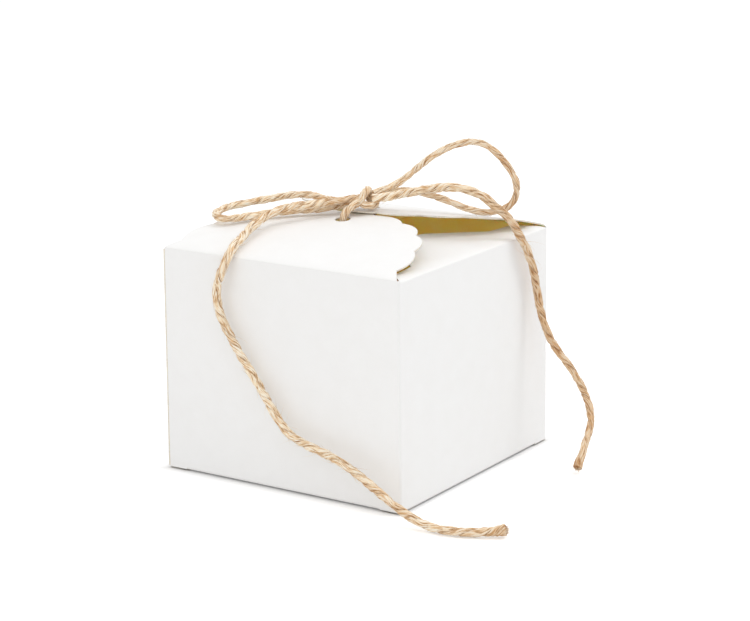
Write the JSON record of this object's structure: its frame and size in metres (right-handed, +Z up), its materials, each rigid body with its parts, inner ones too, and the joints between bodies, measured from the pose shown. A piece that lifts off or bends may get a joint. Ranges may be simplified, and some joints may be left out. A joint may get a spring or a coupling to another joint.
{
  "type": "cookie box",
  "caption": "Small square card carton for cookies, closed by a pair of scalloped flaps that lap over dust flaps and are tied shut through their holes with a twine bow.",
  "frame": {"origin": "middle of the base, on the surface that the box stands on", "axes": "+Z up, -Y out of the front wall, whose left edge carries the glued seam, +X out of the right wall"},
  "size_m": [0.1283, 0.0992, 0.1054],
  "materials": {
    "white_board": "matt coated white outside, plain brown inside",
    "jute_twine": "two-ply twisted natural jute"
  },
  "bodies": {
    "carton": {"front_wall": "white_board", "right_wall": "white_board", "rear_wall": "white_board", "left_wall": "white_board", "glue_tab": "white_board", "bottom_front_flap": "white_board", "bottom_rear_flap": "white_board", "bottom_left_flap": "white_board", "bottom_right_flap": "white_board"},
    "front_flap": {"front_flap": "white_board"},
    "rear_flap": {"rear_flap": "white_board"},
    "left_dust_flap": {"left_dust_flap": "white_board"},
    "right_dust_flap": {"right_dust_flap": "white_board"},
    "twine": {"twine_hole_strand": "jute_twine", "twine_knot": "jute_twine", "twine_left_loop": "jute_twine", "twine_right_loop": "jute_twine", "twine_left_tail": "jute_twine", "twine_right_tail": "jute_twine"}
  },
  "joints": [
    {"name": "twine_lift", "type": "slide", "parent": "carton", "child": "twine", "axis": [0, 0, 1], "range_m": [0, 0.22], "deforming": ["twine_hole_strand"]},
    {"name": "front_flap_fold", "type": "hinge", "parent": "carton", "child": "front_flap", "pos_m": [0, -0.04475, 0.07375], "axis": [1, 0, 0], "range_deg": [0, 100]},
    {"name": "rear_flap_fold", "type": "hinge", "parent": "carton", "child": "rear_flap", "pos_m": [0, 0.04475, 0.07375], "axis": [-1, 0, 0], "range_deg": [0, 120]},
    {"name": "left_dust_flap_fold", "type": "hinge", "parent": "carton", "child": "left_dust_flap", "pos_m": [-0.04475, 0, 0.07315], "axis": [0, -1, 0], "range_deg": [0, 100]},
    {"name": "right_dust_flap_fold", "type": "hinge", "parent": "carton", "child": "right_dust_flap", "pos_m": [0.04475, 0, 0.07315], "axis": [0, 1, 0], "range_deg": [0, 100]}
  ],
  "couplings": [
    {"joint": "front_flap_fold", "follows": "twine_lift", "rad_per_m": 7.933},
    {"joint": "rear_flap_fold", "follows": "twine_lift", "rad_per_m": 9.519},
    {"joint": "left_dust_flap_fold", "follows": "twine_lift", "rad_per_m": 7.933},
    {"joint": "right_dust_flap_fold", "follows": "twine_lift", "rad_per_m": 7.933}
  ]
}
